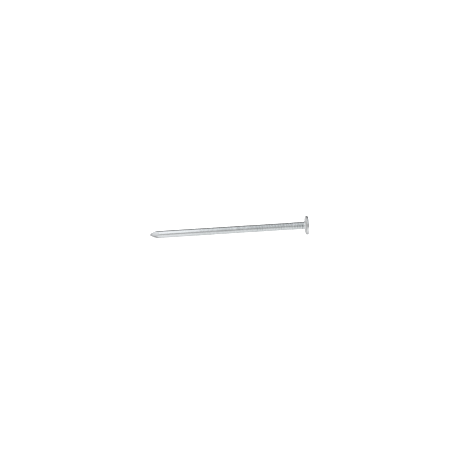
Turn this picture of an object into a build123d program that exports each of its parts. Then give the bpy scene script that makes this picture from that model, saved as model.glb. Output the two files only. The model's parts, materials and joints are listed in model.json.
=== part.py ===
from build123d import *
import math
import os

# A galvanised round-wire nail, in millimetres. It lies along X with Z up: the head is
# at +X, the point at -X, and the origin is the centre of the flat striking face.
#
# The nail is one length of steel wire. Its head is upset from the end of the wire and
# its point is pinched from the other end, so neither is a piece of its own. The zinc is
# a second metal that wraps the steel all round.

# Finished sizes, measured over the zinc
NAIL_LENGTH = 63.5  # underside of the rim to the tip
SHANK_DIAMETER = 2.87
HEAD_DIAMETER = 7.54
RIM_THICKNESS = 0.7  # the head at its edge
HEAD_CONE = 0.4  # how much deeper the head is at the shank than at its edge
RIM_ROUND = 0.12  # rounding of both corners of the rim
NECK_FILLET = 0.9  # fillet between the head's underside and the shank
POINT_LENGTH = 3.5  # tip to the far end of each of the four facets
FACET_TURN = 45  # degrees from straight up to the first facet

# Zinc coating
ZINC_THICKNESS = 0.045

# Marks that the two gripping dies leave across both sides of the shank, at -Y and +Y
MARK_COUNT = 18  # on each side
MARK_PITCH = 1.1
FIRST_MARK = 1.5  # underside of the rim to the first mark
MARK_DEPTH = 0.07
MARK_SECTION = 0.3  # radius of the ridge on the die
MARK_SHIFT = 0.09  # the ridge's centre is beyond the wire's, so each mark fades out

SHANK_RADIUS = SHANK_DIAMETER / 2
HEAD_RADIUS = HEAD_DIAMETER / 2
TIP_X = -(RIM_THICKNESS + NAIL_LENGTH)
CONE_ANGLE = math.atan2(HEAD_CONE, HEAD_RADIUS - SHANK_RADIUS)
FACET_ANGLE = math.atan2(SHANK_RADIUS, POINT_LENGTH)


def underside_x(radius, skin):
    """The head's coned underside at a radius, on the surface skin below the finish."""
    rise = (HEAD_RADIUS - radius) * math.tan(CONE_ANGLE)
    return -RIM_THICKNESS - rise + skin / math.cos(CONE_ANGLE)


def turned_blank(skin):
    """Head and round shank, turned about X, with their surface skin below the finish."""
    shank_radius = SHANK_RADIUS - skin
    head_radius = HEAD_RADIUS - skin
    rim_x = underside_x(head_radius, skin)
    neck_x = underside_x(shank_radius, skin)
    outline = Polyline(
        (TIP_X, 0),
        (TIP_X, shank_radius),
        (neck_x, shank_radius),
        (rim_x, head_radius),
        (-skin, head_radius),
        (-skin, 0),
        close=True,
    )
    section = make_face(outline)
    neck = section.vertices().sort_by_distance((neck_x, shank_radius))[0]
    section = fillet(neck, NECK_FILLET + skin)
    by_radius = section.vertices().sort_by(Axis.Y)
    section = fillet(by_radius[-2:], RIM_ROUND - skin)
    return revolve(section, Axis.X)


def facet_cutter(turn, skin):
    """The waste beyond one facet of the point, which runs down to the tip."""
    reach = 4 * SHANK_DIAMETER
    waste = Box(4 * reach, reach, reach, align=(Align.CENTER, Align.CENTER, Align.MIN))
    tip_x = TIP_X + skin / math.sin(FACET_ANGLE)
    slope = Rotation(0, -math.degrees(FACET_ANGLE), 0)
    return Pos(tip_x, 0, 0) * Rotation(turn, 0, 0) * slope * waste


def diamond_point(nail, skin):
    """The nail with its end pinched to four facets that meet at the tip."""
    behind_point = TIP_X + 2 * POINT_LENGTH
    facets = [facet_cutter(FACET_TURN + 90 * side, skin) for side in range(4)]
    room = Pos(behind_point, 0, 0) * Box(
        4 * POINT_LENGTH,
        HEAD_DIAMETER,
        HEAD_DIAMETER,
        align=(Align.MAX, Align.CENTER, Align.CENTER),
    )
    for facet in facets:
        nail -= facet & room
    return nail


def gripper_marks(skin):
    """Ring sections that bite both sides of the shank below the head."""
    ring_radius = SHANK_RADIUS - MARK_DEPTH + MARK_SHIFT + MARK_SECTION
    ring = Rotation(0, 90, 0) * Torus(ring_radius, MARK_SECTION + skin)
    marks = []
    for number in range(MARK_COUNT):
        mark_x = -RIM_THICKNESS - FIRST_MARK - number * MARK_PITCH
        for side in (-1, 1):
            marks.append(Pos(mark_x, side * MARK_SHIFT, 0) * ring)
    return marks


def nail_form(skin):
    """The whole nail, with every surface skin below the finished one."""
    nail = diamond_point(turned_blank(skin), skin)
    for mark in gripper_marks(skin):
        nail -= mark
    return nail


def steel_wire_body():
    """Head, shank and point: one piece of drawn steel wire."""
    return nail_form(ZINC_THICKNESS)


def galvanised_coating(steel):
    """The zinc that wraps the steel all round."""
    return nail_form(0) - steel


steel = steel_wire_body()
pieces = {
    "steel_wire_body": steel,
    "galvanised_coating": galvanised_coating(steel),
}
os.makedirs("parts", exist_ok=True)
for node, solid in pieces.items():
    export_step(solid, f"parts/{node}.step")
    print(node, round(solid.volume, 3), "mm3, valid", solid.is_valid)
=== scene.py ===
"""The looks of a galvanised wire nail.

Its zinc skin, the steel inside it, and a plain studio. The nail lies along X with its
head at the origin and its point at -X. Angles round it are measured from the top towards
+Y.
"""

import json
import math

import bpy
import numpy as np
from bpy.props import (
    FloatProperty,
    FloatVectorProperty,
    IntProperty,
    PointerProperty,
)
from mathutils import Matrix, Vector, noise


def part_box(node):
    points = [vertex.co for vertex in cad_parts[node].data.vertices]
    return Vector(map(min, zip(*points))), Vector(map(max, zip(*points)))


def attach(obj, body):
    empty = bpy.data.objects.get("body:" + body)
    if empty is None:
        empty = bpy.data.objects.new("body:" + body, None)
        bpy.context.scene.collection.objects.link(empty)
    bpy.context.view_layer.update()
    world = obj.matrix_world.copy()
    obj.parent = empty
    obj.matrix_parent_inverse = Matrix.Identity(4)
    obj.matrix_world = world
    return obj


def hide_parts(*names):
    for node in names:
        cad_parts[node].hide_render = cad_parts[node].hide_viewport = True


bl_info = {
    "name": "Galvanised wire nail",
    "version": (1, 0, 0),
    "blender": (4, 5, 0),
    "location": "3D View > Sidebar > Nail",
    "description": "Zinc skin, steel wire and studio for one galvanised wire nail",
    "category": "Add Mesh",
}

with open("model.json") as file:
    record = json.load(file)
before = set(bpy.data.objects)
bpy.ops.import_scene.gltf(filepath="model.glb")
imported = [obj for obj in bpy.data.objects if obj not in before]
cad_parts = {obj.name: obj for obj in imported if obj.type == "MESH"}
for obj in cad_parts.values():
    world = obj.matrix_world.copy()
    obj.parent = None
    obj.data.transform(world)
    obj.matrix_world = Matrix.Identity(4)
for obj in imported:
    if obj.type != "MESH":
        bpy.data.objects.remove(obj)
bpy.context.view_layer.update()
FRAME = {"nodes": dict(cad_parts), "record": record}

MM = 0.001
BODY = "root"
STEEL_NODE = "steel_wire_body"
ZINC_NODE = "galvanised_coating"
ZINC_LOW, ZINC_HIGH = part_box(ZINC_NODE)
SHANK_MOUNT = next(m for m in FRAME["record"]["mounts"] if m["name"] == "shank")
SHANK_RADIUS = SHANK_MOUNT["dims"]["r_mm"] * MM
HEAD_RADIUS = ZINC_HIGH.z
TIP_X = ZINC_LOW.x


# ---------------------------------------------------------------------------
# Sizes and colours that a user would change


class NailForm(bpy.types.PropertyGroup):
    """Sizes of the nail's visible form, over the zinc"""

    point_length: FloatProperty(
        name="Point length",
        description="From the tip to the far end of the longest facet",
        default=3.5 * MM,
        unit="LENGTH",
    )
    rim_thickness: FloatProperty(
        name="Rim thickness",
        description="Thickness of the head at its edge",
        default=0.7 * MM,
        unit="LENGTH",
    )
    head_cone: FloatProperty(
        name="Head cone",
        description="How much deeper the head is at the shank than at its edge",
        default=0.4 * MM,
        unit="LENGTH",
    )
    rim_round: FloatProperty(
        name="Rim rounding",
        description="Radius on both corners of the rim",
        default=0.12 * MM,
        unit="LENGTH",
    )
    neck_fillet: FloatProperty(
        name="Neck fillet",
        description="Radius between the head's underside and the shank",
        default=0.9 * MM,
        unit="LENGTH",
    )
    mark_count: IntProperty(
        name="Gripper marks",
        description="Marks of the gripping dies on each side of the shank",
        default=18,
        min=0,
    )
    mark_pitch: FloatProperty(
        name="Mark pitch",
        description="Distance from one gripper mark to the next",
        default=1.1 * MM,
        unit="LENGTH",
    )
    first_mark: FloatProperty(
        name="First mark",
        description="From the underside of the rim to the first gripper mark",
        default=1.5 * MM,
        unit="LENGTH",
    )
    mark_depth: FloatProperty(
        name="Mark depth",
        description="Depth of a gripper mark at the middle of its die",
        default=0.075 * MM,
        unit="LENGTH",
    )
    bite_depth: FloatProperty(
        name="Bite depth",
        description="Depth of the short bites nearest the head",
        default=0.1 * MM,
        unit="LENGTH",
    )
    mark_section: FloatProperty(
        name="Mark section",
        description="Radius of the die's ridge that presses one mark",
        default=0.3 * MM,
        unit="LENGTH",
    )
    flash_height: FloatProperty(
        name="Pinch flash",
        description="Height of the thin fin that the cutters leave along the point",
        default=0.1 * MM,
        unit="LENGTH",
    )
    tip_drop: FloatProperty(
        name="Tip drop",
        description="How far the tip lies below the nail's axis",
        default=0.18 * MM,
        unit="LENGTH",
    )
    head_shift: FloatProperty(
        name="Head shift",
        description="How far the upset head sits off the nail's axis",
        default=0.02 * MM,
        unit="LENGTH",
    )
    lump_height: FloatProperty(
        name="Zinc lumps",
        description="Height of the uneven lumps in the zinc",
        default=0.026 * MM,
        unit="LENGTH",
    )
    segments: IntProperty(
        name="Segments",
        description="Points in each ring round the nail",
        default=120,
        min=24,
    )


class ZincFinish(bpy.types.PropertyGroup):
    """Colours and gloss of the zinc"""

    # Lightest zinc, which the painted shade leaves near the point.
    bright_colour: FloatVectorProperty(
        name="Bright zinc",
        description="Colour of the clean zinc near the point",
        default=(0.56, 0.572, 0.58),
        subtype="COLOR",
        min=0.0,
        max=1.0,
    )
    # Darker zinc, which the painted shade reaches towards the head.
    dull_and_shade_colour: FloatVectorProperty(
        name="Dull zinc",
        description="Colour of the weathered zinc towards the head",
        default=(0.512, 0.53, 0.535),
        subtype="COLOR",
        min=0.0,
        max=1.0,
    )
    # The torn faces' own colour, made darker as painted shade; the lower facets take the
    # most of it.
    facet_and_shade_colour: FloatVectorProperty(
        name="Facet zinc",
        description="Colour of the zinc on the torn faces of the point",
        default=(0.36, 0.365, 0.37),
        subtype="COLOR",
        min=0.0,
        max=1.0,
    )
    worn_colour: FloatVectorProperty(
        name="Worn head colour",
        description="Colour of the darker grains on the head",
        default=(0.49, 0.495, 0.5),
        subtype="COLOR",
        min=0.0,
        max=1.0,
    )
    head_colour: FloatVectorProperty(
        name="Head zinc",
        description="Colour of the rougher zinc on the head",
        default=(0.61, 0.615, 0.615),
        subtype="COLOR",
        min=0.0,
        max=1.0,
    )
    # Painted shade in the gripper marks, and the colour of the dark specks elsewhere.
    mark_shade_colour: FloatVectorProperty(
        name="Mark colour",
        description="Colour of the dirt and oxide in the gripper marks",
        default=(0.18, 0.215, 0.22),
        subtype="COLOR",
        min=0.0,
        max=1.0,
    )
    bright_roughness: FloatProperty(
        name="Bright roughness",
        description="Roughness of the clean zinc",
        default=0.17,
        min=0.0,
        max=1.0,
        subtype="FACTOR",
    )
    dull_roughness: FloatProperty(
        name="Dull roughness",
        description="Roughness of the weathered zinc",
        default=0.28,
        min=0.0,
        max=1.0,
        subtype="FACTOR",
    )


class SteelFinish(bpy.types.PropertyGroup):
    """Colours and gloss of the drawn steel under the zinc"""

    steel_colour: FloatVectorProperty(
        name="Steel",
        description="Colour of the drawn wire",
        default=(0.42, 0.415, 0.41),
        subtype="COLOR",
        min=0.0,
        max=1.0,
    )
    scale_colour: FloatVectorProperty(
        name="Scale",
        description="Colour of the patches of grey scale on the wire",
        default=(0.24, 0.235, 0.24),
        subtype="COLOR",
        min=0.0,
        max=1.0,
    )


class Studio(bpy.types.PropertyGroup):
    """The pale floor, the soft light and the camera"""

    floor_colour: FloatVectorProperty(
        name="Floor",
        description="Colour of the plain floor",
        default=(0.9, 0.9, 0.9),
        subtype="COLOR",
        min=0.0,
        max=1.0,
    )
    floor_glow: FloatProperty(
        name="Floor glow",
        description="Light that comes through the floor",
        default=0.46,
        min=0.0,
    )
    floor_seen_glow: FloatProperty(
        name="Floor glow seen",
        description="The same, where the floor is looked at, which thins its shadows",
        default=0.85,
        min=0.0,
    )
    overhead_strength: FloatProperty(
        name="Overhead light",
        description="Radiance of the soft light above the nail",
        default=0.8,
        min=0.0,
    )
    overhead_height: FloatProperty(
        name="Overhead height",
        description="Height of the soft light above the nail",
        default=300 * MM,
        unit="LENGTH",
    )
    front_wall: FloatProperty(
        name="Front wall",
        description="Radiance of the room on the camera's side, towards the point",
        default=0.88,
        min=0.0,
    )
    back_wall: FloatProperty(
        name="Back wall",
        description="Radiance of the room behind the nail",
        default=0.16,
        min=0.0,
    )
    far_side: FloatProperty(
        name="Far side",
        description="Share of the front wall's light that is left on the head's side",
        default=0.22,
        min=0.0,
        max=1.0,
        subtype="FACTOR",
    )
    end_walls: FloatProperty(
        name="End walls",
        description="Radiance of the walls beyond the nail's two ends",
        default=0.8,
        min=0.0,
    )
    ceiling: FloatProperty(
        name="Ceiling",
        description="Radiance of the room overhead, round the soft light",
        default=0.78,
        min=0.0,
    )
    camera_azimuth: FloatProperty(
        name="Camera azimuth",
        description="Turn of the camera round the nail, from square on to the shank",
        default=math.radians(-7.35),
        subtype="ANGLE",
    )
    camera_elevation: FloatProperty(
        name="Camera elevation",
        description="Height of the camera above the horizon",
        default=math.radians(28.9),
        subtype="ANGLE",
    )
    camera_distance: FloatProperty(
        name="Camera distance",
        description="From the camera to the point it looks at",
        default=620 * MM,
        unit="LENGTH",
    )
    camera_lens: FloatProperty(
        name="Lens",
        description="Focal length of the camera",
        default=121.0,
        unit="CAMERA",
    )


# ---------------------------------------------------------------------------
# Small helpers


def smooth_step(low, high, values):
    """0 below low, 1 above high, and a smooth rise between them."""
    t = np.clip((np.asarray(values, float) - low) / (high - low), 0.0, 1.0)
    return t * t * (3.0 - 2.0 * t)


def soft_depth(depth, softness):
    """The positive part of a depth, with its corner rounded off."""
    return 0.5 * (depth + np.sqrt(depth * depth + softness * softness)) - 0.5 * softness


def bell(values, centre, width):
    """A smooth bump of height 1."""
    return np.exp(-(((values - centre) / width) ** 2))


def angle_from(angles, centre):
    """Angles measured from centre, between minus and plus half a turn."""
    return (angles - centre + math.pi) % (2 * math.pi) - math.pi


def corner_arc(before, corner, after, radius, steps):
    """Points of the arc that rounds one corner of an outline."""
    before, corner, after = (np.array(p, float) for p in (before, corner, after))
    into = (before - corner) / np.linalg.norm(before - corner)
    out = (after - corner) / np.linalg.norm(after - corner)
    half = 0.5 * math.acos(float(np.clip(into @ out, -1.0, 1.0)))
    middle = (into + out) / np.linalg.norm(into + out)
    centre = corner + middle * radius / math.sin(half)
    start = corner + into * radius / math.tan(half) - centre
    end = corner + out * radius / math.tan(half) - centre
    turn = math.pi - 2 * half
    points = []
    for share in np.linspace(0.0, 1.0, steps):
        mix = math.sin((1 - share) * turn) * start + math.sin(share * turn) * end
        points.append(centre + mix / math.sin(turn))
    return np.array(points)


def spaced(start, end, gap):
    """Even places from start up to, but not including, end."""
    count = max(1, math.ceil(abs(end - start) / gap))
    return np.linspace(start, end, count, endpoint=False)


# ---------------------------------------------------------------------------
# The nail's form: rings of points from the tip to the middle of the striking face


# How closely the rings of points stand
FINE_GAP = 0.05 * MM  # at the point and the marks
PLAIN_GAP = 0.2 * MM  # on the plain shank
FACE_GAP = 0.14 * MM  # on the head
TIP_GAPS = (0.08, 0.3, 0.6)  # behind the tip, in fine gaps
ARC_STEPS = 9
RIM_STEPS = 5
SHANK_LIMIT = 1.0001 * SHANK_RADIUS  # largest radius that still counts as shank

# The four facets that the cutters leave, none quite like another: where each one faces,
# its share of the point's length, and the power of its bulging profile (1 is flat)
FACETS = (
    (math.radians(45), 0.79, 0.48),
    (math.radians(135), 0.94, 0.6),
    (math.radians(225), 1.05, 0.95),
    (math.radians(315), 1.0, 0.6),
)
EDGE_HARDNESS = 26.0  # higher is a sharper edge between two facets
LEAST_BEHIND = 1e-7  # keeps the facets' profile defined at the tip itself
FACET_DEPTHS = (0.004 * MM, 0.03 * MM)  # pinch over which a facet's finish sets in
FACET_SHARE_AT_SIDE = 0.72
FACET_SHADE_UNDERNEATH = 0.36  # how much more of the facets' darker colour the lower facets take, and the upper ones less: painted shade under the point
POINT_MARGIN = 1.3  # point lengths that get closely spaced rings
DROP_LENGTH = 1.1  # point lengths over which the tip's drop fades out

# The fins where the two cutters meet, along shares of the point's length
FIN_ANGLES = (math.radians(90), math.radians(270))
FIN_WIDTH = 0.09 * MM
FIN_LEAST_RADIUS = 0.1 * MM
FIN_START = (0.12, 0.3)
FIN_END = (0.45, 0.7)

# The marks of the gripping dies
DIE_ANGLES = (math.radians(-66), math.radians(114))
MARK_SEED = 11
MARK_SHIFT = 1.25  # how far the die's ring is off the axis, in mark depths
MARK_NUDGE = 0.1  # in mark pitches, either way
MARK_LEAN = 0.09  # in millimetres, either way
MARK_STRENGTHS = (0.6, 1.1)
MARK_PLAIN_SHARE = 0.8
MARK_HEAD_SHARE = 0.5  # extra strength at the head, which fades over HEAD_FADE marks
MARK_END_SHARE = 0.08  # extra strength at the last mark, which fades over END_FADE marks
HEAD_FADE = 3.0
END_FADE = 2.0
MARK_SOFTNESS = 0.012 * MM

# The short staggered bites nearest the head
BITE_SEED = 5
BITE_COUNT = 4
BITE_ROWS = (math.radians(-2), math.radians(26))
BITE_NUDGE = 0.08  # in mark pitches, either way
BITE_STRENGTHS = (0.8, 1.2)
BITE_LOSS = 0.15  # how much weaker each bite is than the one before, in first bites
BITE_WIDTH = 0.42 * MM  # round the shank
BITE_LENGTH = 0.26 * MM  # along the shank
LIP_SHARE = 0.35  # height of the lip that a bite throws up, as a share of its depth
LIP_LENGTH = 0.22 * MM
BITE_SHADE = 0.7  # how much of a mark's painted shade a bite takes

# What else the dies leave
PARTING_ANGLES = (math.radians(24), math.radians(204))
PARTING_HEIGHT = 0.008 * MM
PARTING_WIDTH = 0.07  # in radians
GRIP_FADE = 0.4 * MM
SWELL_HEIGHT = 0.045 * MM
SWELL_PLACES = (-8.0 * MM, -4.4 * MM)
DIPS = (  # where each dip is, how long and how deep
    (-8.2 * MM, 1.0 * MM, 0.02 * MM),
    (-9.6 * MM, 0.22 * MM, 0.03 * MM),
)
NECK_FADE = (1.02 * SHANK_RADIUS, 1.4 * SHANK_RADIUS)  # radii over which they fade out
BEHIND_RIM = (-0.5 * MM, -0.7 * MM)  # places over which they set in behind the head

# The upset head. Each wave has its count round the nail, its height and its phase.
HEAD_START = 1.1 * SHANK_RADIUS  # the head is uneven beyond this radius
EDGE_WAVES = ((2, 0.009, 1.1), (3, 0.006, 0.4), (5, 0.004, 2.0), (9, 0.0025, 0.9))
EDGE_WAVE_SHARE = 0.6  # the part of those heights that is used, as shares of the radius
HEAD_GROWTH = 0.01  # share by which the head is wider at its edge
UNDERSIDE = (-0.1 * MM, -0.7 * MM)  # places over which the underside's waves set in
UNDERSIDE_WAVES = ((1, 0.03, 0.7), (3, 0.02, 2.2))  # heights in millimetres
UNDERSIDE_DROP = 0.05  # in millimetres
THICK_SIDE_DROP = 0.1  # in millimetres
THICK_SIDE_ANGLE = 0.5
HEAD_PLACES = (-1.2 * MM, -0.5 * MM)  # places over which the head's shift sets in
HEAD_SAG = 0.6  # how far the head sits low, as a share of its shift

# The striking face: a dish and a faint ring, with depths in millimetres
FACE_PLACES = (-0.02 * MM, -0.001 * MM)
DISH_DEPTH = 0.03
RING_DEPTH = 0.012
RING_RADIUS = 0.78 * HEAD_RADIUS
RING_WIDTH = 0.06 * HEAD_RADIUS

# The lumps in the zinc, thickest round the middle of the shank
BROAD_LUMP = 2.6 * MM
BROAD_SHARE = 0.7
SMALL_LUMP = 0.8 * MM
SMALL_SHARE = 0.45
SMALL_SHIFT = Vector((7.0, 3.0, 5.0))
THICK_ZINC_X = -27 * MM
THICK_ZINC_LENGTH = 10 * MM
THICK_ZINC_EXTRA = 1.3


def shank_places(form, neck_x):
    """Where the rings of the point and shank stand: closest at the point and the marks."""
    point_end = TIP_X + POINT_MARGIN * form.point_length
    grip_length = form.first_mark + form.mark_count * form.mark_pitch
    grip_x = -form.rim_thickness - grip_length
    tip = TIP_X + np.array(TIP_GAPS) * FINE_GAP
    return np.concatenate(
        [
            tip,
            spaced(TIP_X + FINE_GAP, point_end, FINE_GAP),
            spaced(point_end, grip_x, PLAIN_GAP),
            spaced(grip_x, neck_x, FINE_GAP),
        ]
    )


def turned_outline(form):
    """The outline of head and shank as (x, radius), from the tip to the face's centre."""
    neck = (-form.rim_thickness - form.head_cone, SHANK_RADIUS)
    rim = (-form.rim_thickness, HEAD_RADIUS)
    edge = (0.0, HEAD_RADIUS)
    neck_arc = corner_arc((TIP_X, SHANK_RADIUS), neck, rim, form.neck_fillet, ARC_STEPS)
    rim_arc = corner_arc(neck, rim, edge, form.rim_round, ARC_STEPS)
    edge_arc = corner_arc(rim, edge, (0.0, 0.0), form.rim_round, ARC_STEPS)
    places = shank_places(form, neck_arc[0][0])
    shank = np.column_stack([places, np.full(len(places), SHANK_RADIUS)])
    cone_share = spaced(0.0, 1.0, FACE_GAP / (HEAD_RADIUS - SHANK_RADIUS))[1:]
    cone = neck_arc[-1] + cone_share[:, None] * (rim_arc[0] - neck_arc[-1])
    rim_share = np.linspace(0.0, 1.0, RIM_STEPS)[1:-1]
    side = rim_arc[-1] + rim_share[:, None] * (edge_arc[0] - rim_arc[-1])
    face_radii = spaced(edge_arc[-1][1], 0.0, FACE_GAP)[1:]
    face = np.column_stack([np.zeros(len(face_radii)), face_radii])
    return np.concatenate([shank, neck_arc, cone, rim_arc, side, edge_arc, face])


def pinch_point(form, x, radius, angle):
    """Four bulging facets that meet at the tip, the cutters' fins, and where a facet is,
    weighted towards the lower facets as painted shade.
    """
    behind = np.maximum(x - TIP_X, LEAST_BEHIND)
    reach = np.ones_like(radius)
    for facing_angle, share, power in FACETS:
        height = (behind / (share * form.point_length)) ** power
        facing = np.maximum(np.cos(angle - facing_angle), 0.0)
        reach += (facing / height) ** EDGE_HARDNESS
    pinched = SHANK_RADIUS * reach ** (-1.0 / EDGE_HARDNESS)
    facet_and_shade = smooth_step(*FACET_DEPTHS, SHANK_RADIUS - pinched)
    # Painted shade: the lower facets take more of the facets' darker colour, the upper ones
    # less.
    facet_and_shade = facet_and_shade * (FACET_SHARE_AT_SIDE - FACET_SHADE_UNDERNEATH * np.cos(angle))
    share = behind / form.point_length
    along = smooth_step(*FIN_START, share) * (1.0 - smooth_step(*FIN_END, share))
    for fin_angle in FIN_ANGLES:
        fin_width = FIN_WIDTH / np.maximum(pinched, FIN_LEAST_RADIUS)
        fin = form.flash_height * bell(angle_from(angle, fin_angle), 0.0, fin_width)
        pinched += along * fin
    in_shank = radius <= SHANK_LIMIT
    return np.where(in_shank, np.minimum(radius, pinched), radius), facet_and_shade


def drop_tip(form, x, z):
    """The point lowered towards its tip, with the bottom of the shank left straight."""
    share = 1.0 - smooth_step(TIP_X, TIP_X + DROP_LENGTH * form.point_length, x)
    lowered = np.maximum(z - form.tip_drop * share, -SHANK_RADIUS)
    return np.where(share > 0.0, lowered, z)


def ridge_cut(form, off, from_side):
    """How deep a die's round ridge cuts, off along the shank and round from its middle."""
    shift = MARK_SHIFT * form.mark_depth
    ring = SHANK_RADIUS - form.mark_depth + shift + form.mark_section
    inside = np.sqrt(np.maximum(form.mark_section**2 - off * off, 0.0))
    across = np.sqrt(ring**2 - (shift * np.sin(from_side)) ** 2)
    return SHANK_RADIUS - (across - shift * np.cos(from_side) - inside)


def mark_share(form, number):
    """How strongly a mark is pressed: most by the head, and a little more at the end."""
    near_head = math.exp(-number / HEAD_FADE)
    near_end = math.exp((number + 1 - form.mark_count) / END_FADE)
    return MARK_PLAIN_SHARE + MARK_HEAD_SHARE * near_head + MARK_END_SHARE * near_end


def press_marks(form, x, angle):
    """Depth of the gripper marks, and how far into a mark each point lies from 0 to 1."""
    draw = np.random.default_rng(MARK_SEED)
    depth = np.zeros_like(x)
    for number in range(form.mark_count):
        mark_x = -form.rim_thickness - form.first_mark - number * form.mark_pitch
        for side_angle in DIE_ANGLES:
            nudge = draw.uniform(-MARK_NUDGE, MARK_NUDGE) * form.mark_pitch
            strength = draw.uniform(*MARK_STRENGTHS) * mark_share(form, number)
            lean = draw.uniform(-MARK_LEAN, MARK_LEAN) * MM
            from_side = angle_from(angle, side_angle)
            off = x - mark_x - nudge - lean * np.sin(from_side)
            cut = ridge_cut(form, off, from_side)
            cut = soft_depth(cut, MARK_SOFTNESS) * strength
            cut = np.where(np.abs(off) < form.mark_section, cut, 0.0)
            depth = np.maximum(depth, np.maximum(cut, 0.0))
    return depth, np.clip(depth / form.mark_depth, 0.0, 1.0)


def press_bites(form, x, angle):
    """Depth of the short staggered bites where the dies grip hardest, below the head."""
    draw = np.random.default_rng(BITE_SEED)
    depth = np.zeros_like(x)
    for number in range(BITE_COUNT):
        kept = 1.0 - BITE_LOSS * number
        for side_angle in DIE_ANGLES:
            for row, row_angle in enumerate(BITE_ROWS):
                bite_x = -form.rim_thickness - form.first_mark
                bite_x -= (number + 0.5 * row) * form.mark_pitch
                bite_x += draw.uniform(-BITE_NUDGE, BITE_NUDGE) * form.mark_pitch
                strength = draw.uniform(*BITE_STRENGTHS) * kept * form.bite_depth
                lip_x = bite_x + 0.5 * form.mark_pitch
                off = angle_from(angle, side_angle + row_angle)
                across = bell(off * SHANK_RADIUS, 0.0, BITE_WIDTH)
                along = bell(x, bite_x, BITE_LENGTH)
                lip = LIP_SHARE * bell(x, lip_x, LIP_LENGTH)
                depth += strength * across * (along - lip)
    return depth


def die_traces(form, x, angle):
    """What else the dies leave: a faint fin on each side, a swell and two dips."""
    grip_length = form.first_mark + form.mark_count * form.mark_pitch
    grip_x = -form.rim_thickness - grip_length
    gripped = smooth_step(grip_x - GRIP_FADE, grip_x + GRIP_FADE, x)
    raised = np.zeros_like(x)
    for parting in PARTING_ANGLES:
        fin = bell(angle_from(angle, parting), 0.0, PARTING_WIDTH)
        raised += PARTING_HEIGHT * gripped * fin
    raised += SWELL_HEIGHT * smooth_step(*SWELL_PLACES, x)
    for dip_x, length, depth in DIPS:
        raised -= depth * bell(x, dip_x, length)
    return raised


def waves(angle, parts):
    """The sum of waves round the nail, each with its count, height and phase."""
    return sum(height * np.cos(count * angle + phase) for count, height, phase in parts)


def uneven_head(x, radius, angle):
    """The upset head: out of round, and uneven in thickness on its underside."""
    spread = smooth_step(HEAD_START, HEAD_RADIUS, radius)
    growth = EDGE_WAVE_SHARE * waves(angle, EDGE_WAVES) + HEAD_GROWTH
    radius = radius * (1.0 + spread * growth)
    thick_side = 0.5 + 0.5 * np.cos(angle - THICK_SIDE_ANGLE)
    shift = waves(angle, UNDERSIDE_WAVES) - UNDERSIDE_DROP - THICK_SIDE_DROP * thick_side
    return x + spread * smooth_step(*UNDERSIDE, x) * shift * MM, radius


def striking_face(x, radius):
    """The face of the head: slightly dished by the heading punch, with a faint ring."""
    on_face = smooth_step(*FACE_PLACES, x)
    dish = 1.0 - (radius / HEAD_RADIUS) ** 2
    ring = bell(radius, RING_RADIUS, RING_WIDTH)
    return x - on_face * (DISH_DEPTH * dish + RING_DEPTH * ring) * MM


def lay_out_nail(form):
    """Ring points of the whole nail in metres, and where marks and facets are, the facets
    weighted for painted shade.
    """
    outline = turned_outline(form)
    angles = np.arange(form.segments) * 2 * math.pi / form.segments
    x = np.repeat(outline[:, :1], form.segments, axis=1)
    radius = np.repeat(outline[:, 1:], form.segments, axis=1)
    angle = np.repeat(angles[None, :], len(outline), axis=0)
    shank_only = radius <= SHANK_LIMIT
    radius, facet_and_shade = pinch_point(form, x, radius, angle)
    depth, in_mark = press_marks(form, x, angle)
    bites = press_bites(form, x, angle)
    # The bites take painted shade like the marks.
    in_mark = np.clip(in_mark + BITE_SHADE * bites / form.bite_depth, 0.0, 1.0)
    radius = radius - np.where(shank_only, depth + bites, 0.0)
    near_shank = 1.0 - smooth_step(*NECK_FADE, radius)
    behind_rim = smooth_step(*BEHIND_RIM, x)
    radius = radius + near_shank * behind_rim * die_traces(form, x, angle)
    x, radius = uneven_head(x, radius, angle)
    x = striking_face(x, radius)
    to_head = smooth_step(*HEAD_PLACES, x)
    y = radius * np.sin(angle) + form.head_shift * to_head
    z = radius * np.cos(angle)
    z = drop_tip(form, x, z) - HEAD_SAG * form.head_shift * to_head
    points = np.stack([x, y, z], axis=-1)
    return points, {
        "in_mark": np.where(shank_only, in_mark, 0.0),
        "facet_and_shade": np.where(shank_only, facet_and_shade, 0.0),
    }


def nail_mesh(form):
    """The nail as one closed mesh that knows where its marks and facets are."""
    rings, places = lay_out_nail(form)
    count, segments = rings.shape[:2]
    tip = (TIP_X, 0.0, -form.tip_drop)
    centre = rings[-1].mean(axis=0)
    points = np.concatenate([[tip], rings.reshape(-1, 3), [centre]])
    first = np.arange(segments)
    then = (first + 1) % segments
    faces = [(0, 1 + a, 1 + b) for a, b in zip(first, then)]
    for ring in range(count - 1):
        low = 1 + ring * segments
        high = low + segments
        faces += [(low + a, high + a, high + b, low + b) for a, b in zip(first, then)]
    last = 1 + (count - 1) * segments
    faces += [(last + b, last + a, len(points) - 1) for a, b in zip(first, then)]
    mesh = bpy.data.meshes.new("galvanised_skin")
    mesh.from_pydata(points.tolist(), [], [tuple(map(int, face)) for face in faces])
    mesh.update()
    for name, share in places.items():
        attribute = mesh.attributes.new(name, "FLOAT", "POINT")
        values = np.concatenate([share[0, :1], share.ravel(), [0.0]]).astype(np.float32)
        attribute.data.foreach_set("value", values)
    return mesh


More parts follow.
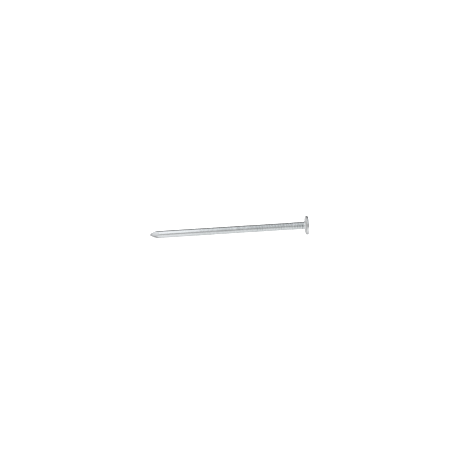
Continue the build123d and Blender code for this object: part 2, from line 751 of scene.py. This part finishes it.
def add_zinc_lumps(mesh, height):
    """Low uneven lumps where the molten zinc ran and set, along each point's normal."""
    count = len(mesh.vertices)
    points = np.zeros(count * 3)
    normals = np.zeros(count * 3)
    mesh.vertices.foreach_get("co", points)
    mesh.vertices.foreach_get("normal", normals)
    points = points.reshape(-1, 3)
    normals = normals.reshape(-1, 3)
    broad = [noise.noise(Vector(point) / BROAD_LUMP) for point in points]
    small = [noise.noise(Vector(point) / SMALL_LUMP + SMALL_SHIFT) for point in points]
    lumps = BROAD_SHARE * np.array(broad) + SMALL_SHARE * np.array(small)
    thick = bell(points[:, 0], THICK_ZINC_X, THICK_ZINC_LENGTH)
    lumps = lumps * (1.0 + THICK_ZINC_EXTRA * thick)
    points += normals * ((1.0 + lumps) * height)[:, None]
    mesh.vertices.foreach_set("co", points.ravel())
    mesh.update()


# ---------------------------------------------------------------------------
# Materials


class Nodes:
    """A short way to write a material's or the world's nodes."""

    def __init__(self, tree):
        self.tree = tree
        tree.nodes.clear()

    def add(self, kind, settings=None, **inputs):
        """A node with its settings, its plain values and its links by socket name."""
        node = self.tree.nodes.new(kind)
        for name, value in (settings or {}).items():
            setattr(node, name, value)
        for name, value in inputs.items():
            self.put(node, name.replace("_", " "), value)
        return node

    def put(self, node, name, value):
        """Links or sets one input; numbers pick it by its place."""
        place = int(name[1:]) if name[:1] == "i" and name[1:].isdigit() else name
        socket = node.inputs[place]
        if isinstance(value, bpy.types.NodeSocket):
            self.tree.links.new(value, socket)
        else:
            socket.default_value = value

    def mix(self, factor, first, second):
        """Two colours mixed."""
        node = self.add("ShaderNodeMix", {"data_type": "RGBA"})
        self.put(node, "i0", factor)
        self.put(node, "i6", first)
        self.put(node, "i7", second)
        return node.outputs[2]

    def math(self, operation, first, second=0.0):
        """One sum."""
        node = self.add("ShaderNodeMath", {"operation": operation}, i0=first, i1=second)
        return node.outputs[0]

    def times(self, value, factor):
        """A value times a factor."""
        return self.math("MULTIPLY", value, factor)

    def plus(self, first, *others):
        """Values added up."""
        for other in others:
            first = self.math("ADD", first, other)
        return first

    def ranged(self, value, low, high, to_low=0.0, to_high=1.0):
        """A value carried smoothly from one range to another."""
        node = self.add("ShaderNodeMapRange", {"interpolation_type": "SMOOTHSTEP"})
        for place, number in enumerate((value, low, high, to_low, to_high)):
            self.put(node, f"i{place}", number)
        return node.outputs[0]

    def noise(self, where, scale, detail=4.0, roughness=0.55):
        """Plain noise."""
        node = self.add(
            "ShaderNodeTexNoise",
            Vector=where,
            Scale=scale,
            Detail=detail,
            Roughness=roughness,
        )
        return node.outputs["Fac"]

    def stretched(self, where, scale):
        """Coordinates scaled on their own axes."""
        node = self.add("ShaderNodeMapping", Vector=where, Scale=scale)
        return node.outputs[0]

    def millimetres(self):
        """The object's own coordinates in millimetres."""
        where = self.add("ShaderNodeTexCoord").outputs["Object"]
        return self.stretched(where, (1000.0, 1000.0, 1000.0))

    def attribute(self, name):
        """A share that the mesh holds for each point."""
        node = self.add("ShaderNodeAttribute", {"attribute_name": name})
        return node.outputs["Fac"]


def opaque(colour):
    """A colour property as the four numbers that a socket takes."""
    return (*colour, 1.0)


def blank_material(name):
    """A new material with no nodes yet."""
    material = bpy.data.materials.new(name)
    material.use_nodes = True
    return material, Nodes(material.node_tree)


# Where each finish starts and where it is full, in millimetres from the striking face
HEAD_FINISH = (-1.65, -1.1)
RIM_FINISH = (-0.85, -0.7)
# Painted shade: the zinc turns darker and rougher towards the head over these places.
HEAD_END_SHADE = (-56.0, -38.0)
MOST_HEAD_END_SHADE = 0.85

# Noises: scale, detail and roughness
MOTTLE = (0.55, 5.0, 0.6)
SPECKLE = (5.0, 3.0, 0.6)
SCUFFS = (1.6, 4.0, 0.6)
STREAK = (1.0, 4.0, 0.6)
STREAK_STRETCH = (0.12, 3.2, 3.2)
NOISE_SPAN = (0.3, 0.7)  # between which most of a noise lies
SPANGLE_SCALE = 0.75
SPANGLE_SOFTNESS = 0.6

# How much each thing changes the zinc's dullness, either way
MOTTLE_CHANGE = 0.22
STREAK_CHANGE = 0.12
SPANGLE_CHANGE = 0.1

# The worn grains on the head
SPANGLE_WEAR = 0.5
WEAR_SPAN = (0.5, 1.0)

# Painted shade in the marks, and dark specks of the same colour elsewhere
MARK_SHADE_STARTS = 0.15
MARK_SHADE_MOST = 0.85
SPECK_SPAN = (0.62, 0.74)
SPECK_MOST = 0.35

# How much more roughness and how much less metal each place has
HEAD_ROUGHER = 0.2
RIM_SMOOTHER = 0.22
FACET_ROUGHER = 0.2
DARK_ROUGHER = 0.2
HEAD_CHALKY = 0.45
FACET_CHALKY = 0.15

# The relief that is too fine for the mesh
BUMP_DISTANCE = 0.02 * MM
ZINC_BUMP = 0.35
SPECKLE_RELIEF = 0.5
SCUFF_RELIEF = 2.5

# The zinc's glare at a grazing angle
GRAZING_TINT = (0.55, 0.55, 0.55, 1.0)

# The drawn steel
PATCHES = (0.6, 4.0, 0.6)
PATCH_SPAN = (0.45, 0.62)
LINES = (1.0, 5.0, 0.65)
LINES_STRETCH = (0.08, 9.0, 9.0)
STEEL_ROUGHNESS = (0.28, 0.48)
STEEL_BUMP = 0.4

# The floor
CLOUD = (3.0, 2.0, 0.5)
CLOUD_SHADE = 0.985
FLOOR_ROUGHNESS = 0.9
FLOOR_SHINE = 0.1


def zinc_dullness_and_shade(nodes, along, mottle, streak, spangle):
    """How dull the zinc is, from 0 to 1: uneven all over, and more towards the head, where
    its darker colour is painted shade.
    """
    uneven = nodes.plus(
        nodes.ranged(along, *HEAD_END_SHADE, 0.0, MOST_HEAD_END_SHADE),
        nodes.ranged(mottle, *NOISE_SPAN, -MOTTLE_CHANGE, MOTTLE_CHANGE),
        nodes.ranged(streak, *NOISE_SPAN, -STREAK_CHANGE, STREAK_CHANGE),
        nodes.ranged(spangle, 0.0, 1.0, -SPANGLE_CHANGE, SPANGLE_CHANGE),
    )
    return nodes.ranged(uneven, 0.0, 1.0)


def zinc_material(finish):
    """Satin zinc: mottled, streaked along the wire, and duller towards the head, where its
    darker colour is painted shade.
    """
    material, nodes = blank_material("galvanised_zinc")
    per_mm = nodes.millimetres()
    along = nodes.add("ShaderNodeSeparateXYZ", Vector=per_mm).outputs["X"]
    on_head = nodes.ranged(along, *HEAD_FINISH)
    on_rim = nodes.ranged(along, *RIM_FINISH)
    facet = nodes.attribute("facet_and_shade")
    marks = nodes.attribute("in_mark")
    cells = nodes.add(
        "ShaderNodeTexVoronoi",
        {"feature": "SMOOTH_F1"},
        Vector=per_mm,
        Scale=SPANGLE_SCALE,
        Smoothness=SPANGLE_SOFTNESS,
    )
    spangle = nodes.add("ShaderNodeSeparateXYZ", Vector=cells.outputs["Color"]).outputs["X"]
    mottle = nodes.noise(per_mm, *MOTTLE)
    speckle = nodes.noise(per_mm, *SPECKLE)
    streak = nodes.noise(nodes.stretched(per_mm, STREAK_STRETCH), *STREAK)
    dullness_and_shade = zinc_dullness_and_shade(nodes, along, mottle, streak, spangle)

    # Bright to dull zinc; the darkening towards the head is painted shade.
    colour = nodes.mix(dullness_and_shade, opaque(finish.bright_colour), opaque(finish.dull_and_shade_colour))
    wear = nodes.plus(nodes.times(spangle, SPANGLE_WEAR), mottle)
    worn = nodes.ranged(wear, *WEAR_SPAN)
    head = nodes.mix(worn, opaque(finish.head_colour), opaque(finish.worn_colour))
    colour = nodes.mix(on_head, colour, head)
    # The facets' darker colour: partly their torn finish, partly painted shade, strongest
    # on the lower facets.
    colour = nodes.mix(facet, colour, opaque(finish.facet_and_shade_colour))
    # Painted shade that darkens the gripper marks by their depth, and dark specks
    # elsewhere.
    painted_mark_shade = nodes.times(nodes.ranged(marks, MARK_SHADE_STARTS, 1.0), MARK_SHADE_MOST)
    specks = nodes.times(nodes.ranged(speckle, *SPECK_SPAN), SPECK_MOST)
    dark = nodes.math("MAXIMUM", painted_mark_shade, specks)
    colour = nodes.mix(dark, colour, opaque(finish.mark_shade_colour))

    roughness = nodes.plus(
        nodes.ranged(dullness_and_shade, 0.0, 1.0, finish.bright_roughness, finish.dull_roughness),
        nodes.times(on_head, HEAD_ROUGHER),
        nodes.times(on_rim, -RIM_SMOOTHER),
        nodes.times(facet, FACET_ROUGHER),
        nodes.times(dark, DARK_ROUGHER),
    )
    scuffs = nodes.times(nodes.noise(per_mm, *SCUFFS), on_head)
    height = nodes.plus(
        nodes.times(speckle, SPECKLE_RELIEF), streak, nodes.times(scuffs, SCUFF_RELIEF)
    )
    bump = nodes.add(
        "ShaderNodeBump", Strength=ZINC_BUMP, Distance=BUMP_DISTANCE, Height=height
    )
    underside = nodes.math("SUBTRACT", on_head, on_rim)
    chalky = nodes.math(
        "MAXIMUM", nodes.times(underside, HEAD_CHALKY), nodes.times(facet, FACET_CHALKY)
    )
    shader = nodes.add(
        "ShaderNodeBsdfPrincipled",
        Base_Color=colour,
        Metallic=nodes.math("SUBTRACT", 1.0, chalky),
        Roughness=roughness,
        Specular_Tint=GRAZING_TINT,
        Normal=bump.outputs[0],
    )
    nodes.add("ShaderNodeOutputMaterial", Surface=shader.outputs[0])
    return material


def steel_material(finish):
    """Drawn low-carbon steel: fine lines along the wire and patches of grey scale."""
    material, nodes = blank_material("drawn_steel_wire")
    per_mm = nodes.millimetres()
    lines = nodes.noise(nodes.stretched(per_mm, LINES_STRETCH), *LINES)
    scale = nodes.ranged(nodes.noise(per_mm, *PATCHES), *PATCH_SPAN)
    colour = nodes.mix(scale, opaque(finish.steel_colour), opaque(finish.scale_colour))
    bump = nodes.add(
        "ShaderNodeBump", Strength=STEEL_BUMP, Distance=BUMP_DISTANCE, Height=lines
    )
    shader = nodes.add(
        "ShaderNodeBsdfPrincipled",
        Base_Color=colour,
        Metallic=1.0,
        Roughness=nodes.ranged(lines, *NOISE_SPAN, *STEEL_ROUGHNESS),
        Normal=bump.outputs[0],
    )
    nodes.add("ShaderNodeOutputMaterial", Surface=shader.outputs[0])
    return material


def floor_material(colour, glow, seen_glow):
    """A plain matt floor with only a breath of unevenness, lit a little from below."""
    material, nodes = blank_material("pale_floor")
    where = nodes.add("ShaderNodeTexCoord").outputs["Object"]
    cloud = nodes.noise(where, *CLOUD)
    darker = opaque([CLOUD_SHADE * part for part in colour])
    shade = nodes.mix(cloud, darker, opaque(colour))
    seen = nodes.add("ShaderNodeLightPath").outputs["Is Camera Ray"]
    shader = nodes.add(
        "ShaderNodeBsdfPrincipled",
        Base_Color=shade,
        Roughness=FLOOR_ROUGHNESS,
        Specular_IOR_Level=FLOOR_SHINE,
        Emission_Color=(1.0, 1.0, 1.0, 1.0),
        Emission_Strength=nodes.ranged(seen, 0.0, 1.0, glow, seen_glow),
    )
    nodes.add("ShaderNodeOutputMaterial", Surface=shader.outputs[0])
    return material


# ---------------------------------------------------------------------------
# Stage


FLOOR_HALF = 4.0  # metres from the nail to the floor's edges
FLOOR_CLEARANCE = 0.005 * MM
HEAD_X = -1.0 * MM  # in front of it a point belongs to the head
SHANK_X = -5.0 * MM  # behind it a point belongs to the shank
LIGHT_X = (-350 * MM, 11 * MM)
LIGHT_Y = (-400 * MM, 160 * MM)
AIM = (-32.2 * MM, 0.0, 0.477 * MM)
SENSOR_WIDTH = 36.0
NEAREST_SEEN = 10 * MM

# The room, by the direction in which one looks from the nail: over which part of each
# axis, from -1 to 1, one wall passes into the next
SIDE_WALLS = (-0.1, 0.4)  # towards the head, on the X axis
BACK_WALL = (-0.2, 0.3)  # from front to back, on the Y axis
END_WALLS_MIDDLE = 0.08
END_WALLS = (0.22, 0.5)  # away from that middle, on the X axis
CEILING_EDGE = (0.62, 0.93)  # upwards, on the Z axis
CEILING_TILT = math.radians(11)
CEILING_TINT = (0.97, 1.0, 1.03)
SEEN_WHITE = (1.6, 1.6, 1.6, 1.0)


def resting_floor(points):
    """The plane that the lying nail rests on: the head's lowest point, and its slope."""
    head = points[points[:, 0] > HEAD_X]
    touch = head[np.argmin(head[:, 2])]
    rest = points[points[:, 0] < SHANK_X]
    slope = np.max((rest[:, 2] - touch[2]) / (rest[:, 0] - touch[0]))
    return touch, slope


def lay_floor(studio, points):
    """A plain floor under the nail, at the slope that the head gives the lying nail."""
    touch, slope = resting_floor(points)
    low, high = -FLOOR_HALF, FLOOR_HALF
    corners = [(low, low), (high, low), (high, high), (low, high)]
    level = touch[2] - FLOOR_CLEARANCE
    floor_points = [(x, y, level + slope * (x - touch[0])) for x, y in corners]
    mesh = bpy.data.meshes.new("floor")
    mesh.from_pydata(floor_points, [], [(0, 1, 2, 3)])
    mesh.materials.append(
        floor_material(studio.floor_colour, studio.floor_glow, studio.floor_seen_glow)
    )
    floor = bpy.data.objects.new("floor", mesh)
    bpy.context.scene.collection.objects.link(floor)


def overhead_light(name, x_range, y_range, height, radiance):
    """A soft level light of a given radiance over a rectangle of the floor."""
    width = x_range[1] - x_range[0]
    depth = y_range[1] - y_range[0]
    light = bpy.data.lights.new(name, "AREA")
    light.shape = "RECTANGLE"
    light.size = width
    light.size_y = depth
    light.energy = radiance * math.pi * width * depth
    lamp = bpy.data.objects.new(name, light)
    lamp.location = (sum(x_range) / 2, sum(y_range) / 2, height)
    bpy.context.scene.collection.objects.link(lamp)


def grey(nodes, value):
    """A value as a grey colour."""
    node = nodes.add("ShaderNodeCombineColor", Red=value, Green=value, Blue=value)
    return node.outputs[0]


def room_light(studio):
    """A room with a lighter front, a dark back and a ceiling; plain white where seen."""
    world = bpy.data.worlds.new("studio_room")
    bpy.context.scene.world = world
    world.use_nodes = True
    nodes = Nodes(world.node_tree)
    direction = nodes.add("ShaderNodeTexCoord").outputs["Generated"]
    axes = nodes.add("ShaderNodeSeparateXYZ", Vector=direction)
    side = nodes.ranged(axes.outputs["X"], *SIDE_WALLS, 1.0, studio.far_side)
    front = nodes.times(side, studio.front_wall)
    wall = nodes.ranged(axes.outputs["Y"], *BACK_WALL, front, studio.back_wall)
    aside = nodes.math("SUBTRACT", axes.outputs["X"], END_WALLS_MIDDLE)
    wall = nodes.ranged(nodes.math("ABSOLUTE", aside), *END_WALLS, wall, studio.end_walls)
    lean = nodes.times(axes.outputs["Y"], -math.tan(CEILING_TILT))
    rise = nodes.ranged(nodes.plus(axes.outputs["Z"], lean), *CEILING_EDGE)
    ceiling = opaque([studio.ceiling * part for part in CEILING_TINT])
    room = nodes.mix(rise, grey(nodes, wall), ceiling)
    seen = nodes.add("ShaderNodeLightPath").outputs["Is Camera Ray"]
    shade = nodes.mix(seen, room, SEEN_WHITE)
    back = nodes.add("ShaderNodeBackground", Color=shade, Strength=1.0)
    nodes.add("ShaderNodeOutputWorld", Surface=back.outputs[0])


def place_camera(studio):
    """The camera, above and a little to the point's side of the nail."""
    azimuth = studio.camera_azimuth
    elevation = studio.camera_elevation
    back = Vector(
        (
            math.sin(azimuth) * math.cos(elevation),
            -math.cos(azimuth) * math.cos(elevation),
            math.sin(elevation),
        )
    )
    aim = Vector(AIM)
    camera_data = bpy.data.cameras.new("camera")
    camera_data.lens = studio.camera_lens
    camera_data.sensor_width = SENSOR_WIDTH
    camera_data.clip_start = NEAREST_SEEN
    camera = bpy.data.objects.new("camera", camera_data)
    camera.location = aim + back * studio.camera_distance
    camera.rotation_euler = (-back).to_track_quat("-Z", "Y").to_euler()
    bpy.context.scene.collection.objects.link(camera)
    bpy.context.scene.camera = camera


# ---------------------------------------------------------------------------
# Operators


class NAIL_OT_zinc_skin(bpy.types.Operator):
    """Build the visible zinc skin of the nail in place of the plain coating"""

    bl_idname = "nail.zinc_skin"
    bl_label = "Zinc skin"

    def execute(self, context):
        form = context.scene.nail_form
        mesh = nail_mesh(form)
        add_zinc_lumps(mesh, form.lump_height)
        mesh.polygons.foreach_set("use_smooth", [True] * len(mesh.polygons))
        mesh.materials.append(zinc_material(context.scene.nail_zinc))
        skin = bpy.data.objects.new("galvanised_skin", mesh)
        context.scene.collection.objects.link(skin)
        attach(skin, BODY)
        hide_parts(ZINC_NODE)
        return {"FINISHED"}


class NAIL_OT_steel_wire(bpy.types.Operator):
    """Give the steel inside the zinc its drawn finish"""

    bl_idname = "nail.steel_wire"
    bl_label = "Steel wire"

    def execute(self, context):
        steel = FRAME["nodes"][STEEL_NODE]
        finish = steel_material(context.scene.nail_steel)
        for place in steel.material_slots:
            place.material = finish
        return {"FINISHED"}


class NAIL_OT_studio(bpy.types.Operator):
    """Set out the pale floor, the soft light and the camera"""

    bl_idname = "nail.studio"
    bl_label = "Studio"

    def execute(self, context):
        skin = bpy.data.objects.get("galvanised_skin")
        if skin is None:
            raise RuntimeError("build the zinc skin before the studio")
        points = np.zeros(len(skin.data.vertices) * 3)
        skin.data.vertices.foreach_get("co", points)
        studio = context.scene.nail_studio
        lay_floor(studio, points.reshape(-1, 3))
        room_light(studio)
        overhead_light(
            "overhead",
            LIGHT_X,
            LIGHT_Y,
            studio.overhead_height,
            studio.overhead_strength,
        )
        place_camera(studio)
        context.scene.view_settings.view_transform = "Standard"
        return {"FINISHED"}


class NAIL_PT_tools(bpy.types.Panel):
    """The nail's pieces and studio, in the sidebar"""

    bl_idname = "NAIL_PT_tools"
    bl_label = "Galvanised wire nail"
    bl_space_type = "VIEW_3D"
    bl_region_type = "UI"
    bl_category = "Nail"

    def draw(self, context):
        for operator in OPERATORS:
            self.layout.operator(operator.bl_idname)


GROUPS = {
    "nail_form": NailForm,
    "nail_zinc": ZincFinish,
    "nail_steel": SteelFinish,
    "nail_studio": Studio,
}
OPERATORS = (NAIL_OT_zinc_skin, NAIL_OT_steel_wire, NAIL_OT_studio)


def register():
    for name, group in GROUPS.items():
        bpy.utils.register_class(group)
        setattr(bpy.types.Scene, name, PointerProperty(type=group))
    for operator in OPERATORS:
        bpy.utils.register_class(operator)
    bpy.utils.register_class(NAIL_PT_tools)


def unregister():
    bpy.utils.unregister_class(NAIL_PT_tools)
    for operator in reversed(OPERATORS):
        bpy.utils.unregister_class(operator)
    for name, group in GROUPS.items():
        delattr(bpy.types.Scene, name)
        bpy.utils.unregister_class(group)


def main():
    register()
    bpy.ops.nail.zinc_skin()
    bpy.ops.nail.steel_wire()
    bpy.ops.nail.studio()


if __name__ == "__main__":
    main()
